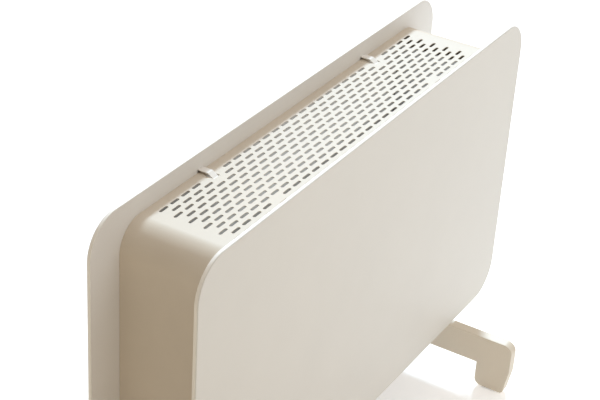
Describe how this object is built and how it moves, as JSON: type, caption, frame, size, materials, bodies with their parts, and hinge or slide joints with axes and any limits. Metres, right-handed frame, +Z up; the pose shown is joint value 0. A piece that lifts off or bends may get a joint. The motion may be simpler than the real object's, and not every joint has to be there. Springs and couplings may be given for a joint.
{
  "type": "ceramic space heater",
  "caption": "Free-standing ceramic panel heater: rounded flat panels either side of a slotted casing, on feet, with a dial and rocker switches at one end.",
  "frame": {"origin": "on the floor, under the centre of the heater", "axes": "+Z up, +X along the width towards the end with the controls, -Y towards the front panel"},
  "size_m": [0.7, 0.3, 0.471],
  "materials": {
    "panel_paint": "cream textured powder coat",
    "liner_paint": "cream powder coat",
    "casing_paint": "cream powder coat",
    "zinc_steel": "zinc plated sheet",
    "bright_sheet": "bright reflective sheet",
    "fin_aluminium": "mill finish",
    "heater_ceramic": "unglazed",
    "foot_plastic": "warm beige, fine grain",
    "pad_rubber": "matt",
    "fascia_plastic": "fine grain",
    "knob_plastic": "satin",
    "switch_plastic": "gloss",
    "rocker_plastic": "gloss",
    "lens_plastic": "amber, translucent",
    "lamp_glass": "clear",
    "block_plastic": "natural nylon",
    "gland_plastic": "black nylon",
    "grommet_rubber": "matt",
    "terminal_brass": "plain",
    "copper_tube": "drawn copper",
    "wire_sleeve": "silicone sleeve",
    "screw_steel": "zinc plated"
  },
  "bodies": {
    "chassis": {"front_panel": "panel_paint", "rear_panel": "panel_paint", "front_liner": "liner_paint", "rear_liner": "liner_paint", "casing_band": "casing_paint", "base_tray": "zinc_steel", "control_partition": "zinc_steel", "front_hook_left": "casing_paint", "front_hook_right": "casing_paint", "rear_hook_left": "casing_paint", "rear_hook_right": "casing_paint", "left_foot": "foot_plastic", "right_foot": "foot_plastic", "foot_pad_left_front": "pad_rubber", "foot_pad_left_rear": "pad_rubber", "foot_pad_right_front": "pad_rubber", "foot_pad_right_rear": "pad_rubber", "foot_nut_plates": "zinc_steel", "front_element_fins": "fin_aluminium", "rear_element_fins": "fin_aluminium", "front_ceramic_core": "heater_ceramic", "rear_ceramic_core": "heater_ceramic", "left_end_insulator": "heater_ceramic", "right_end_insulator": "heater_ceramic", "left_element_bracket": "zinc_steel", "right_element_bracket": "zinc_steel", "front_heat_shield": "bright_sheet", "rear_heat_shield": "bright_sheet", "thermal_cutout": "switch_plastic", "element_terminals": "terminal_brass", "wire_grommet": "grommet_rubber", "terminal_block": "block_plastic", "terminal_screws": "terminal_brass", "control_fascia": "fascia_plastic", "thermostat_body": "block_plastic", "thermostat_nut": "terminal_brass", "thermostat_capillary": "copper_tube", "switch_housing_front": "switch_plastic", "switch_housing_rear": "switch_plastic", "pilot_lens": "lens_plastic", "pilot_lamp": "lamp_glass", "cord_gland": "gland_plastic", "gland_nut": "gland_plastic", "tilt_switch_frame": "block_plastic", "tilt_switch_pin": "screw_steel", "tilt_micro_switch": "switch_plastic", "live_wire": "wire_sleeve", "front_element_wire": "wire_sleeve", "rear_element_wire": "wire_sleeve", "foot_screws": "screw_steel", "casing_screws": "screw_steel", "chassis_screws": "screw_steel", "fascia_screws": "screw_steel", "block_screws": "screw_steel", "panel_screws": "screw_steel"},
    "dial": {"thermostat_knob": "knob_plastic", "thermostat_shaft": "terminal_brass"},
    "front_rocker": {"switch_rocker_front": "rocker_plastic"},
    "rear_rocker": {"switch_rocker_rear": "rocker_plastic"},
    "pendulum": {"tilt_pendulum": "terminal_brass"}
  },
  "joints": [
    {"name": "dial_turn", "type": "hinge", "parent": "chassis", "child": "dial", "pos_m": [0.3071, 0, 0.3663], "axis": [1, 0, 0], "range_deg": [-270, 0]},
    {"name": "front_rocker_press", "type": "hinge", "parent": "chassis", "child": "front_rocker", "pos_m": [0.3056, -0.016, 0.2943], "axis": [0, -1, 0], "range_deg": [0, 24]},
    {"name": "rear_rocker_press", "type": "hinge", "parent": "chassis", "child": "rear_rocker", "pos_m": [0.3056, 0.016, 0.2943], "axis": [0, -1, 0], "range_deg": [0, 24]},
    {"name": "pendulum_swing", "type": "hinge", "parent": "chassis", "child": "pendulum", "pos_m": [0.2669, 0.036, 0.2057], "axis": [1, 0, 0], "range_deg": [-20, 20]}
  ]
}
